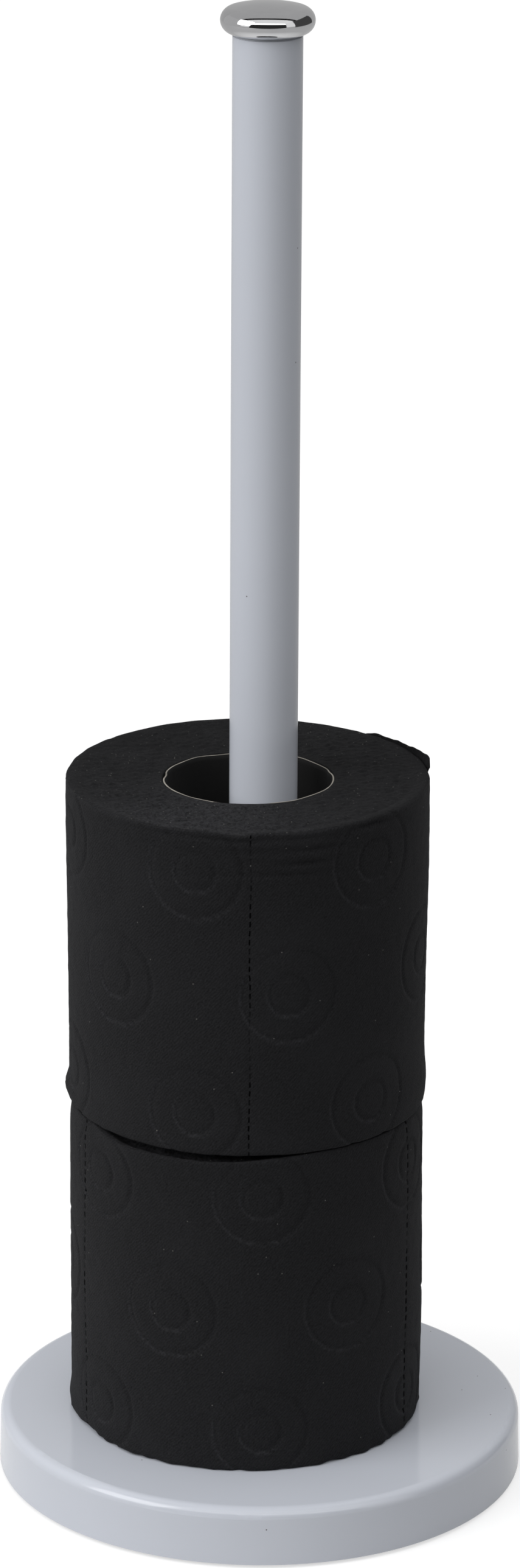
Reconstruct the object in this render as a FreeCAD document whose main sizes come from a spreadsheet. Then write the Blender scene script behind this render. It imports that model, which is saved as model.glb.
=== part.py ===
import FreeCAD, Part
import math
import os
import Sketcher

# A free-standing holder that stores toilet rolls on a pole: a weighted round base, a painted
# tube screwed to it, a chromed mushroom cap, and two rolls of paper dropped over the tube.
# Millimetres, +Z up. The origin is the middle of the base on the floor.

DRIVING_SIZES = [
    ("base_dia", 150.0, "width of the base at the foot of its wall"),
    ("base_height", 17.5, "top of the base above the floor"),
    ("base_edge", 3.0, "rounding of the top edge of the base"),
    ("base_draft", 1.4, "lean of the base wall, degrees"),
    ("shell_wall", 1.2, "sheet thickness of the base shell"),
    ("foot_height", 1.0, "gap between the floor and the rim of the shell"),
    ("inner_gap", 0.3, "play of the pieces inside the shell"),
    ("press_gap", 0.1, "play of pressed and threaded pieces"),
    ("ring_land", 7.4, "cover left outside the rubber foot ring"),
    ("ring_width", 8.0, "width of the rubber foot ring"),
    ("ring_seat", 1.0, "depth of the groove that holds the foot ring"),
    ("cover_thick", 2.5, "floor thickness of the bottom cover"),
    ("boss_dia", 13.0, "outside of the screw bosses on the cover"),
    ("screw_inset", 10.0, "cover screws inside the foot ring"),
    ("screw_dia", 4.0, "shank of a cover screw"),
    ("screw_head", 7.6, "head width of a cover screw"),
    ("screw_head_height", 2.6, "head height of a cover screw"),
    ("screw_sink", 3.2, "depth of the recess for a screw head"),
    ("screw_length", 8.0, "shank length of a cover screw"),
    ("screw_hole_spare", 1.0, "room past the end of a cover screw"),
    ("ballast_thick", 10.0, "thickness of the cast weight"),
    ("ballast_edge", 1.5, "rounding of the lower edge of the weight"),
    ("recess_dia", 28.0, "recess in the weight for the bolt head"),
    ("bolt_dia", 8.0, "shank of the pole bolt"),
    ("bolt_flats", 13.0, "head of the pole bolt across its flats"),
    ("bolt_head_height", 5.3, "head height of the pole bolt"),
    ("bolt_reach", 20.0, "length of the bolt above the base"),
    ("bolt_clear", 0.6, "room between the bolt head and the bottom cover"),
    ("washer_dia", 16.0, "outside of the flat washer"),
    ("washer_thick", 1.6, "thickness of the flat washer"),
    ("spring_dia", 14.0, "outside of the split washer"),
    ("spring_thick", 2.0, "thickness of the split washer"),
    ("spring_split", 9.0, "opening of the split washer, degrees"),
    ("tube_dia", 19.0, "outside of the pole"),
    ("tube_wall", 1.0, "wall of the pole"),
    ("tube_length", 397.6, "length of the pole tube"),
    ("insert_length", 28.0, "length of the threaded plug in the foot of the pole"),
    ("bush_depth", 18.0, "length of the plug in the top of the pole"),
    ("bush_flange", 0.6, "thickness of the flange under the cap"),
    ("bush_inset", 0.4, "how far the flange stays inside the tube's face"),
    ("stud_dia", 6.0, "stud that holds the cap"),
    ("stud_reach", 4.6, "length of the stud inside the cap"),
    ("stud_spare", 0.4, "room above the stud inside the cap"),
    ("cap_dia", 25.6, "width of the cap"),
    ("cap_rim", 3.6, "radius of the round rim of the cap"),
    ("cap_rise", 4.7, "top of the cap above the middle of its rim"),
    ("roll_height", 95.0, "width of the paper, the height of a roll"),
    ("lower_roll_dia", 100.2, "outside of the lower roll"),
    ("upper_roll_dia", 101.0, "outside of the upper roll"),
    ("roll_edge", 2.0, "softened outer edge of a roll"),
    ("tail_step", 0.8, "step where the last turn of paper ends"),
    ("tail_turn_lower", 118.0, "direction of the lower roll's free end, degrees"),
    ("tail_turn_upper", 52.0, "direction of the upper roll's free end, degrees"),
    ("core_bore", 46.0, "inside of the card core"),
    ("core_wall", 0.8, "thickness of the card core"),
    ("core_recess", 0.7, "how far the core stays inside each end of its roll"),
    ("roll_shift", 4.2, "how far the rolls sit to the left of the pole"),
]

# A sketch counts the points of an element from 1: its start, its end and its centre
START, END, CENTRE = range(1, 4)
# It counts its own lines down from -1: the horizontal axis, which starts at the origin, and the vertical
ACROSS, UP = range(-1, -3, -1)
ORIGIN = ACROSS

COVER_SCREWS = 3
BOLT_HEAD_SIDES = 6
QUARTERS = 4
# Edges closer than this to where they are looked for are the same edge
SAME_PLACE = 1e-4

# Heights and radii that several pieces share, as formulas on the sheet
SHELL_HEIGHT = "(Sizes.base_height - Sizes.foot_height)"
SHELL_TOP_RADIUS = f"(Sizes.base_dia / 2 - {SHELL_HEIGHT} * tan(Sizes.base_draft * 1 deg))"
SHELL_CEILING = "(Sizes.base_height - Sizes.shell_wall)"
BOLT_HOLE = "(Sizes.bolt_dia / 2 + Sizes.inner_gap)"
BALLAST_FOOT = f"({SHELL_CEILING} - Sizes.ballast_thick)"
BOLT_FOOT = "(Sizes.foot_height + Sizes.cover_thick + Sizes.bolt_clear)"
BOLT_SEAT = f"({BOLT_FOOT} + Sizes.bolt_head_height)"
WASHER_SEAT = f"({BOLT_SEAT} + Sizes.spring_thick)"
RECESS_ROOF = f"({WASHER_SEAT} + Sizes.washer_thick)"
COVER_LEAN = "(Sizes.cover_thick * tan(Sizes.base_draft * 1 deg))"
COVER_RADIUS = f"(Sizes.base_dia / 2 - Sizes.shell_wall - {COVER_LEAN} - Sizes.inner_gap)"
RING_RADIUS = f"({COVER_RADIUS} - Sizes.ring_land)"
RING_BORE = f"({RING_RADIUS} - Sizes.ring_width)"
SCREW_ACROSS = f"({RING_BORE} - Sizes.screw_inset)"
SCREW_SEAT = "(Sizes.foot_height + Sizes.screw_sink)"
TUBE_BORE = "(Sizes.tube_dia / 2 - Sizes.tube_wall)"
TUBE_TOP = "(Sizes.base_height + Sizes.tube_length)"
CORE_RADIUS = "(Sizes.core_bore / 2 + Sizes.core_wall)"

doc = FreeCAD.newDocument("RollHolder")
sizes = doc.addObject("Spreadsheet::Sheet", "Sizes")
for row, (alias, number, meaning) in enumerate(DRIVING_SIZES, start=1):
    sizes.set(f"A{row}", meaning)
    sizes.set(f"B{row}", str(number))
    sizes.setAlias(f"B{row}", alias)
doc.recompute()

pieces = []


def worth(formula):
    """The present value of a formula on the sheet."""
    result = sizes.evalExpression(formula)
    return float(getattr(result, "Value", result))


def new_piece(label, height, across="0"):
    """An empty body whose place follows the sheet."""
    body = doc.addObject("PartDesign::Body", label)
    body.Label = label
    body.setExpression("Placement.Base.x", across)
    body.setExpression("Placement.Base.z", height)
    pieces.append(body)
    return body


def new_sketch(body, name, plane="XZ_Plane"):
    """A sketch on one of the body's own origin planes."""
    sketch = body.newObject("Sketcher::SketchObject", name)
    support = [feature for feature in body.Origin.OriginFeatures if feature.Role == plane][0]
    sketch.AttachmentSupport = [(support, "")]
    sketch.MapMode = "FlatFace"
    return sketch


def drive(sketch, constraint, formula):
    """Adds a dimension whose value comes from the sheet."""
    index = sketch.addConstraint(constraint)
    sketch.setExpression(f"Constraints[{index}]", formula)


def pin(sketch, element, point, across, up):
    """Holds a point of a sketch element at a place given by two formulas."""
    if worth(across) == 0:
        sketch.addConstraint(Sketcher.Constraint("PointOnObject", element, point, UP))
    else:
        distance = Sketcher.Constraint("DistanceX", ORIGIN, START, element, point, worth(across))
        drive(sketch, distance, across)
    if worth(up) == 0:
        sketch.addConstraint(Sketcher.Constraint("PointOnObject", element, point, ACROSS))
    else:
        distance = Sketcher.Constraint("DistanceY", ORIGIN, START, element, point, worth(up))
        drive(sketch, distance, up)


def join(sketch, elements):
    """Joins the end of each element to the start of the next, and the last to the first."""
    for here, there in zip(elements, elements[1:] + elements[:1]):
        sketch.addConstraint(Sketcher.Constraint("Coincident", here, END, there, START))


def at(across, up):
    return FreeCAD.Vector(worth(across), worth(up), 0)


def outline(sketch, corners):
    """A closed outline of straight lines through corners given as pairs of formulas."""
    places = [at(*corner) for corner in corners]
    lines = []
    for here, there in zip(places, places[1:] + places[:1]):
        lines.append(sketch.addGeometry(Part.LineSegment(here, there)))
    join(sketch, lines)
    for line, corner in zip(lines, corners):
        pin(sketch, line, START, *corner)


def turn(body, sketch, kind="PartDesign::Revolution", angle="360"):
    """Turns a sketch about the body's upright axis, as material or as a cut."""
    feature = body.newObject(kind, sketch.Name + "_turned")
    feature.Profile = sketch
    feature.ReferenceAxis = (sketch, ["V_Axis"])
    feature.setExpression("Angle", angle)
    doc.recompute()
    return feature


def turned_piece(label, height, corners, across="0", angle="360"):
    """A piece made by turning one straight-sided section."""
    body = new_piece(label, height, across)
    sketch = new_sketch(body, label + "_section")
    outline(sketch, corners)
    turn(body, sketch, angle=angle)
    return body


def ring_corners(inner, outer, height):
    return [(inner, "0"), (outer, "0"), (outer, height), (inner, height)]


def rim(feature, radius, height):
    """The name of the round edge of a feature at a radius and a height of its own body."""
    for number, edge in enumerate(feature.Shape.Edges, start=1):
        if not isinstance(edge.Curve, Part.Circle):
            continue
        off_radius = abs(edge.Curve.Radius - worth(radius))
        off_height = abs(edge.Curve.Center.z - worth(height))
        if max(off_radius, off_height) < SAME_PLACE:
            return f"Edge{number}"
    raise ValueError(f"no rim of radius {worth(radius)} at {worth(height)}")


def round_over(body, radius, height, size):
    """Rounds one circular edge of the body's last feature."""
    base = body.Tip
    fillet = body.newObject("PartDesign::Fillet", f"{body.Name}_rounded")
    fillet.Base = (base, [rim(base, radius, height)])
    fillet.setExpression("Radius", size)
    doc.recompute()


def disc(body, name, radius, across, length, cut=False, down=False):
    """A round pad or pocket whose sketch lies on the body's ground plane."""
    sketch = new_sketch(body, name + "_circle", "XY_Plane")
    circle = sketch.addGeometry(Part.Circle(at(across, "0"), FreeCAD.Vector(0, 0, 1), worth(radius)))
    pin(sketch, circle, CENTRE, across, "0")
    drive(sketch, Sketcher.Constraint("Radius", circle, worth(radius)), radius)
    feature = body.newObject("PartDesign::Pocket" if cut else "PartDesign::Pad", name)
    feature.Profile = sketch
    feature.setExpression("Length", length)
    feature.Reversed = down
    doc.recompute()
    return feature


def repeat_round(body, features, count):
    """Repeats features evenly about the body's upright axis."""
    pattern = body.newObject("PartDesign::PolarPattern", body.Name + "_pattern")
    pattern.Originals = features
    axis = [feature for feature in body.Origin.OriginFeatures if feature.Role == "Z_Axis"][0]
    pattern.Axis = (axis, [""])
    pattern.Angle = 360
    pattern.Occurrences = count
    body.Tip = pattern
    doc.recompute()


def make_base_shell():
    """A pressed cup, open below, with a leaning wall and a generous round edge."""
    wall = "Sizes.shell_wall"
    foot_radius = "Sizes.base_dia / 2"
    inner_top = f"({SHELL_TOP_RADIUS} - {wall})"
    inner_height = f"({SHELL_HEIGHT} - {wall})"
    body = turned_piece("base_shell", "Sizes.foot_height", [
        (BOLT_HOLE, SHELL_HEIGHT),
        (SHELL_TOP_RADIUS, SHELL_HEIGHT),
        (foot_radius, "0"),
        (f"({foot_radius} - {wall})", "0"),
        (inner_top, inner_height),
        (BOLT_HOLE, inner_height),
    ])
    round_over(body, SHELL_TOP_RADIUS, SHELL_HEIGHT, "Sizes.base_edge")
    round_over(body, inner_top, inner_height, f"Sizes.base_edge - {wall}")


def make_ballast_disc():
    """The weight under the shell's roof, recessed for the bolt and tapped for the cover."""
    outer = f"({SHELL_TOP_RADIUS} - Sizes.base_edge - Sizes.inner_gap)"
    recess = "Sizes.recess_dia / 2"
    roof = f"({RECESS_ROOF} - {BALLAST_FOOT})"
    body = turned_piece("ballast_disc", BALLAST_FOOT, [
        (recess, "0"),
        (outer, "0"),
        (outer, "Sizes.ballast_thick"),
        (BOLT_HOLE, "Sizes.ballast_thick"),
        (BOLT_HOLE, roof),
        (recess, roof),
    ])
    round_over(body, outer, "0", "Sizes.ballast_edge")
    hole_depth = f"{SCREW_SEAT} + Sizes.screw_length + Sizes.screw_hole_spare - {BALLAST_FOOT}"
    hole = disc(body, "screw_hole", "Sizes.screw_dia / 2 + Sizes.press_gap",
                SCREW_ACROSS, hole_depth, cut=True, down=True)
    repeat_round(body, [hole], COVER_SCREWS)


def make_bottom_cover():
    """A disc inside the shell's rim, grooved for the foot ring, with bosses up to the weight."""
    groove_outer = f"({RING_RADIUS} + Sizes.press_gap)"
    groove_inner = f"({RING_BORE} - Sizes.press_gap)"
    body = turned_piece("bottom_cover", "Sizes.foot_height", [
        ("0", "0"),
        (groove_inner, "0"),
        (groove_inner, "Sizes.ring_seat"),
        (groove_outer, "Sizes.ring_seat"),
        (groove_outer, "0"),
        (COVER_RADIUS, "0"),
        (COVER_RADIUS, "Sizes.cover_thick"),
        ("0", "Sizes.cover_thick"),
    ])
    boss_height = f"{BALLAST_FOOT} - Sizes.foot_height"
    boss = disc(body, "boss", "Sizes.boss_dia / 2", SCREW_ACROSS, boss_height)
    head_room = disc(body, "head_room", "Sizes.screw_head / 2 + Sizes.inner_gap", SCREW_ACROSS,
                     "Sizes.screw_sink", cut=True, down=True)
    shank_room = disc(body, "shank_room", "Sizes.screw_dia / 2 + Sizes.inner_gap", SCREW_ACROSS,
                      boss_height, cut=True, down=True)
    repeat_round(body, [boss, head_room, shank_room], COVER_SCREWS)


def make_cover_screws():
    """Three pan-head screws from the cover into the weight."""
    body = new_piece("cover_screws", SCREW_SEAT)
    head = disc(body, "screw_head", "Sizes.screw_head / 2", SCREW_ACROSS,
                "Sizes.screw_head_height", down=True)
    shank = disc(body, "screw_shank", "Sizes.screw_dia / 2", SCREW_ACROSS, "Sizes.screw_length")
    repeat_round(body, [head, shank], COVER_SCREWS)


def make_foot_ring():
    """The rubber ring that the holder stands on."""
    turned_piece("foot_ring", "0", ring_corners(
        RING_BORE, RING_RADIUS, "(Sizes.foot_height + Sizes.ring_seat)"))


def make_pole_bolt():
    """A hexagon bolt from below, through washers, weight and shell, into the pole."""
    body = new_piece("pole_bolt", BOLT_FOOT)
    head = body.newObject("PartDesign::AdditivePrism", "bolt_head")
    head.Polygon = BOLT_HEAD_SIDES
    head.setExpression("Circumradius", f"Sizes.bolt_flats / 2 / cos({180 / BOLT_HEAD_SIDES} deg)")
    head.setExpression("Height", "Sizes.bolt_head_height")
    doc.recompute()
    disc(body, "bolt_shank", "Sizes.bolt_dia / 2", "0",
         f"Sizes.bolt_head_height + Sizes.base_height + Sizes.bolt_reach - {BOLT_SEAT}")


def make_washers():
    """A flat washer under the weight and a split washer under that."""
    turned_piece("flat_washer", WASHER_SEAT, ring_corners(
        BOLT_HOLE, "Sizes.washer_dia / 2", "Sizes.washer_thick"))
    turned_piece("spring_washer", BOLT_SEAT, ring_corners(
        BOLT_HOLE, "Sizes.spring_dia / 2", "Sizes.spring_thick"), angle="360 - Sizes.spring_split")


def make_pole():
    """The tube and the threaded plug in its foot."""
    turned_piece("pole_tube", "Sizes.base_height", ring_corners(
        TUBE_BORE, "Sizes.tube_dia / 2", "Sizes.tube_length"))
    turned_piece("pole_insert", "Sizes.base_height", ring_corners(
        "(Sizes.bolt_dia / 2 + Sizes.press_gap)", f"({TUBE_BORE} - Sizes.press_gap)", "Sizes.insert_length"))


def make_cap_bush():
    """A plug in the top of the tube with a thin flange that shows under the cap."""
    bore = "(Sizes.stud_dia / 2 + Sizes.press_gap)"
    plug = f"({TUBE_BORE} - Sizes.press_gap)"
    flange = "(Sizes.tube_dia / 2 - Sizes.bush_inset)"
    top = "(Sizes.bush_depth + Sizes.bush_flange)"
    turned_piece("cap_bush", f"{TUBE_TOP} - Sizes.bush_depth", [
        (bore, "0"),
        (plug, "0"),
        (plug, "Sizes.bush_depth"),
        (flange, "Sizes.bush_depth"),
        (flange, top),
        (bore, top),
    ])


def make_cap_stud():
    """The threaded rod that draws the cap down on the bush."""
    body = new_piece("cap_stud", f"{TUBE_TOP} - Sizes.bush_depth")
    disc(body, "stud_rod", "Sizes.stud_dia / 2", "0",
         "Sizes.bush_depth + Sizes.bush_flange + Sizes.stud_reach")


def make_cap_knob():
    """A mushroom cap: flat below, a round rim, and a low dome that runs smoothly out of the rim."""
    rim_across = "(Sizes.cap_dia / 2 - Sizes.cap_rim)"
    top = "(Sizes.cap_rim + Sizes.cap_rise)"
    dome = (f"(({rim_across} ^ 2 + Sizes.cap_rise ^ 2 - Sizes.cap_rim ^ 2)"
            " / (2 * (Sizes.cap_rise - Sizes.cap_rim)))")
    hole = "(Sizes.stud_dia / 2 + Sizes.press_gap)"
    hole_depth = "(Sizes.stud_reach + Sizes.stud_spare)"
    body = new_piece("cap_knob", f"{TUBE_TOP} + Sizes.bush_flange")
    sketch = new_sketch(body, "cap_knob_section")

    rim_middle = at(rim_across, "Sizes.cap_rim")
    dome_middle = FreeCAD.Vector(0, worth(top) - worth(dome), 0)
    lean = math.atan2(rim_middle.y - dome_middle.y, rim_middle.x - dome_middle.x)
    upright = FreeCAD.Vector(0, 0, 1)
    rim_circle = Part.Circle(rim_middle, upright, worth("Sizes.cap_rim"))
    dome_circle = Part.Circle(dome_middle, upright, worth(dome))
    corners = [("0", top), ("0", hole_depth), (hole, hole_depth), (hole, "0"), (rim_across, "0")]
    places = [at(*corner) for corner in corners]
    lines = [sketch.addGeometry(Part.LineSegment(here, there)) for here, there in zip(places, places[1:])]
    rim_arc = sketch.addGeometry(Part.ArcOfCircle(rim_circle, -math.pi / 2, lean))
    dome_arc = sketch.addGeometry(Part.ArcOfCircle(dome_circle, lean, math.pi / 2))
    for line, corner in zip(lines, corners):
        pin(sketch, line, START, *corner)
    for here, there in zip(lines, lines[1:]):
        sketch.addConstraint(Sketcher.Constraint("Coincident", here, END, there, START))
    sketch.addConstraint(Sketcher.Constraint("Tangent", lines[-1], END, rim_arc, START))
    sketch.addConstraint(Sketcher.Constraint("Tangent", rim_arc, END, dome_arc, START))
    sketch.addConstraint(Sketcher.Constraint("Coincident", dome_arc, END, lines[0], START))
    sketch.addConstraint(Sketcher.Constraint("PointOnObject", dome_arc, CENTRE, UP))
    drive(sketch, Sketcher.Constraint("DistanceX", ORIGIN, START, rim_arc, CENTRE, rim_middle.x), rim_across)
    drive(sketch, Sketcher.Constraint("Radius", rim_arc, worth("Sizes.cap_rim")), "Sizes.cap_rim")
    sketch.addConstraint(Sketcher.Constraint("Horizontal", lines[-1]))
    turn(body, sketch)


def draw_last_turn(sketch, radius, bore):
    """The outline of a roll seen from above: one turn of a spiral whose free end leaves a step.

    Four quarter arcs run into each other. Their middles are the corners of a small square, so the
    spiral grows by the side of that square in each quarter.
    """
    growth = "(Sizes.tail_step / 4)"
    half = f"({growth} / 2)"
    middles = [(f"-{half}", half), (f"-{half}", f"-{half}"), (half, f"-{half}"), (half, half)]
    radii = [f"({radius} + {quarter - 1.5} * {growth})" for quarter in range(QUARTERS)]
    upright = FreeCAD.Vector(0, 0, 1)
    arcs = []
    for quarter in range(QUARTERS):
        circle = Part.Circle(at(*middles[quarter]), upright, worth(radii[quarter]))
        begin = quarter * math.pi / 2
        arcs.append(sketch.addGeometry(Part.ArcOfCircle(circle, begin, begin + math.pi / 2)))
    outer_end = at(f"({radius} + 2 * {growth})", half)
    inner_end = at(f"({radius} - 2 * {growth})", half)
    tail = sketch.addGeometry(Part.LineSegment(outer_end, inner_end))
    for here, there in zip(arcs, arcs[1:]):
        sketch.addConstraint(Sketcher.Constraint("Tangent", here, END, there, START))
    sketch.addConstraint(Sketcher.Constraint("Coincident", arcs[-1], END, tail, START))
    sketch.addConstraint(Sketcher.Constraint("Coincident", tail, END, arcs[0], START))
    for arc, size in zip(arcs, radii):
        drive(sketch, Sketcher.Constraint("Radius", arc, worth(size)), size)
    pin(sketch, arcs[0], CENTRE, *middles[0])
    for quarter, arc in enumerate(arcs):
        direction = "Horizontal" if quarter % 2 else "Vertical"
        sketch.addConstraint(Sketcher.Constraint(direction, arc, END, arc, CENTRE))
    sketch.addConstraint(Sketcher.Constraint("Horizontal", tail))
    hole = sketch.addGeometry(Part.Circle(FreeCAD.Vector(), upright, worth(bore)))
    pin(sketch, hole, CENTRE, "0", "0")
    drive(sketch, Sketcher.Constraint("Radius", hole, worth(bore)), bore)


def soften_edge(body, name, radius, end, inward):
    """Cuts the sharp outer edge at one end of a roll down to a round one."""
    edge = "Sizes.roll_edge"
    inner = f"({radius} - {edge})"
    outside = f"({radius} + {edge})"
    level = f"({end} {inward} {edge})"
    sketch = new_sketch(body, name)
    corners = [(inner, end), (outside, end), (outside, level), (radius, level)]
    places = [at(*corner) for corner in corners]
    lines = [sketch.addGeometry(Part.LineSegment(here, there)) for here, there in zip(places, places[1:])]
    circle = Part.Circle(at(inner, level), FreeCAD.Vector(0, 0, 1), worth(edge))
    is_top = inward == "-"
    angles = (0, math.pi / 2) if is_top else (-math.pi / 2, 0)
    arc = sketch.addGeometry(Part.ArcOfCircle(circle, *angles))
    for line, corner in zip(lines, corners):
        pin(sketch, line, START, *corner)
    pin(sketch, lines[-1], END, *corners[-1])
    for here, there in zip(lines, lines[1:]):
        sketch.addConstraint(Sketcher.Constraint("Coincident", here, END, there, START))
    at_side, at_end = (START, END) if is_top else (END, START)
    sketch.addConstraint(Sketcher.Constraint("Coincident", lines[-1], END, arc, at_side))
    sketch.addConstraint(Sketcher.Constraint("Coincident", arc, at_end, lines[0], START))
    drive(sketch, Sketcher.Constraint("Radius", arc, worth(edge)), edge)
    before = body.Shape.Volume
    turn(body, sketch, "PartDesign::Groove")
    if body.Shape.Volume >= before:
        raise ValueError(f"{name} cut nothing")


def make_roll(name, diameter, height, tail_turn):
    """A card core and the paper wound on it, standing a little to the left of the pole."""
    across = "-Sizes.roll_shift"
    turned_piece(f"{name}_core", f"{height} + Sizes.core_recess", ring_corners(
        "Sizes.core_bore / 2", CORE_RADIUS, "(Sizes.roll_height - 2 * Sizes.core_recess)"), across)

    body = new_piece(f"{name}_paper", height, across)
    radius = f"({diameter} / 2)"
    sketch = new_sketch(body, f"{name}_last_turn", "XY_Plane")
    draw_last_turn(sketch, radius, f"({CORE_RADIUS} + Sizes.press_gap)")
    wound = body.newObject("PartDesign::Pad", f"{name}_wound")
    wound.Profile = sketch
    wound.setExpression("Length", "Sizes.roll_height")
    doc.recompute()
    widest = f"({radius} + Sizes.tail_step / 2)"
    soften_edge(body, f"{name}_top_edge", widest, "Sizes.roll_height", "-")
    soften_edge(body, f"{name}_foot_edge", widest, "0", "+")
    body.setExpression("Placement.Rotation.Angle", tail_turn)
    doc.recompute()


def check_and_write():
    """Stops on any failed object, then writes each piece to its own file."""
    doc.recompute()
    for item in doc.Objects:
        if "Invalid" in item.State or "Error" in item.State:
            raise ValueError(f"{item.Name} failed: {item.State}")
    for piece in pieces:
        if piece.Shape.isNull() or not piece.Shape.isValid():
            raise ValueError(f"{piece.Label} has no valid shape")
    os.makedirs("parts", exist_ok=True)
    for piece in pieces:
        piece.Shape.exportStep(f"parts/{piece.Label}.step")
        print(f"{piece.Label}: {len(piece.Shape.Solids)} solid(s), {piece.Shape.Volume:.1f} mm3")


make_foot_ring()
make_bottom_cover()
make_cover_screws()
make_ballast_disc()
make_base_shell()
make_pole_bolt()
make_washers()
make_pole()
make_cap_bush()
make_cap_stud()
make_cap_knob()
make_roll("lower_roll", "Sizes.lower_roll_dia", "Sizes.base_height", "Sizes.tail_turn_lower")
make_roll("upper_roll", "Sizes.upper_roll_dia", "Sizes.base_height + Sizes.roll_height",
          "Sizes.tail_turn_upper")
check_and_write()
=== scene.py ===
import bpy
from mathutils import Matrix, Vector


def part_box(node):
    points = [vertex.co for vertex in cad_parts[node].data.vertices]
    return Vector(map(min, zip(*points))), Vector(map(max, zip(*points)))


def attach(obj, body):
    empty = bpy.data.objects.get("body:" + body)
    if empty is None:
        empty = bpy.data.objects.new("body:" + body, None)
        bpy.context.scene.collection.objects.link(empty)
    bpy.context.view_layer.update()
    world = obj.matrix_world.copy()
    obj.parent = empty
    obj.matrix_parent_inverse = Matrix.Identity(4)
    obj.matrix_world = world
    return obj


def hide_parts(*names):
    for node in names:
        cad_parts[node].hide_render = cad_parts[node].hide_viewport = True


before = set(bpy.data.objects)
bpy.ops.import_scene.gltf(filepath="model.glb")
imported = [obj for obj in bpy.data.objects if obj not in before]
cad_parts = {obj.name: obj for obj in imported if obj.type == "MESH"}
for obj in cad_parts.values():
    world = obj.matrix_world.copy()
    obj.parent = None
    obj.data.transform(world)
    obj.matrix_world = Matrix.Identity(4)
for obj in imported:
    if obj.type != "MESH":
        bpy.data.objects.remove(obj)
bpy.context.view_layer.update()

import math
from types import SimpleNamespace

import bmesh
import bpy
import numpy as np
from mathutils import Matrix, Vector

# A pole on a weighted base that stores two black toilet rolls. Metres, in the frame of the solids:
# +Z up, the viewer of the photograph on the -Y side.

MM = 0.001
TINY = 1e-5              # points nearer than this are at the same place
WHITE = (1, 1, 1, 1)

# Directions round the rolls, as angles
FRONT = -math.pi / 2
LEFT = math.pi
RIGHT = 0.0

# The camera stands where the photograph was taken from, and its frame is measured in pixels
FRAME_TALL = 2576
FOCAL_PIXELS = 9645.6
SENSOR = 36.0
CAMERA_PLACE = Vector((0.0, -1.54895, 0.72488))
CAMERA_PITCH = 0.32423
CAMERA_YAW = -0.0006
CAMERA_ROLL = 0.00578
CAMERA_NEAREST = 0.05


# ---- Materials ----

def linear(hex_colour):
    """An sRGB hex colour as the linear colour that the shaders take."""
    parts = [int(hex_colour[i:i + 2], 16) / 255 for i in (1, 3, 5)]
    return [p / 12.92 if p <= 0.04045 else ((p + 0.055) / 1.055) ** 2.4 for p in parts] + [1.0]


def add_node(tree, kind, inputs=None, **settings):
    """Adds a node. inputs gives its sockets a value each, or the output that feeds them."""
    node = tree.nodes.new(kind)
    for name, value in settings.items():
        setattr(node, name, value)
    for socket, value in (inputs or {}).items():
        if isinstance(value, bpy.types.NodeSocket):
            tree.links.new(value, node.inputs[socket])
        else:
            node.inputs[socket].default_value = value
    return node


def bare_material(name):
    """A new material with nothing in its node tree yet."""
    material = bpy.data.materials.new(name)
    material.use_nodes = True
    material.node_tree.nodes.clear()
    return material, material.node_tree


def new_material(name, **values):
    """A material with one Principled shader whose uniform values are set on its own sockets."""
    material, tree = bare_material(name)
    sockets = {key.replace("_", " "): value for key, value in values.items()}
    shader = add_node(tree, "ShaderNodeBsdfPrincipled", sockets)
    add_node(tree, "ShaderNodeOutputMaterial", {"Surface": shader.outputs["BSDF"]})
    return material, tree, shader


def per_metre(size_mm):
    """Scale of a noise or cell texture whose features are about this large."""
    return 1 / (size_mm * MM)


WAVE_TEXTURE_TURN = 20   # radians that a wave texture of scale 1 goes through in a metre


def waves_per_metre(pitch_mm):
    """Scale of a wave texture whose bands repeat at this pitch."""
    return 2 * math.pi / (WAVE_TEXTURE_TURN * pitch_mm * MM)


ENAMEL_TONES = ("#c9cdd6", "#cdd1da")
ENAMEL_CLOUD_MM = 35
ORANGE_PEEL_MM = 2.2
DUST_CELL_MM = 7.0
DUST_REACH = 0.03        # half a speck's width, as part of its cell: 0.4 mm across
DUST_SHARE = 0.5         # part of the cells that hold a speck
DUST_GREY = "#6d6c70"


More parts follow.
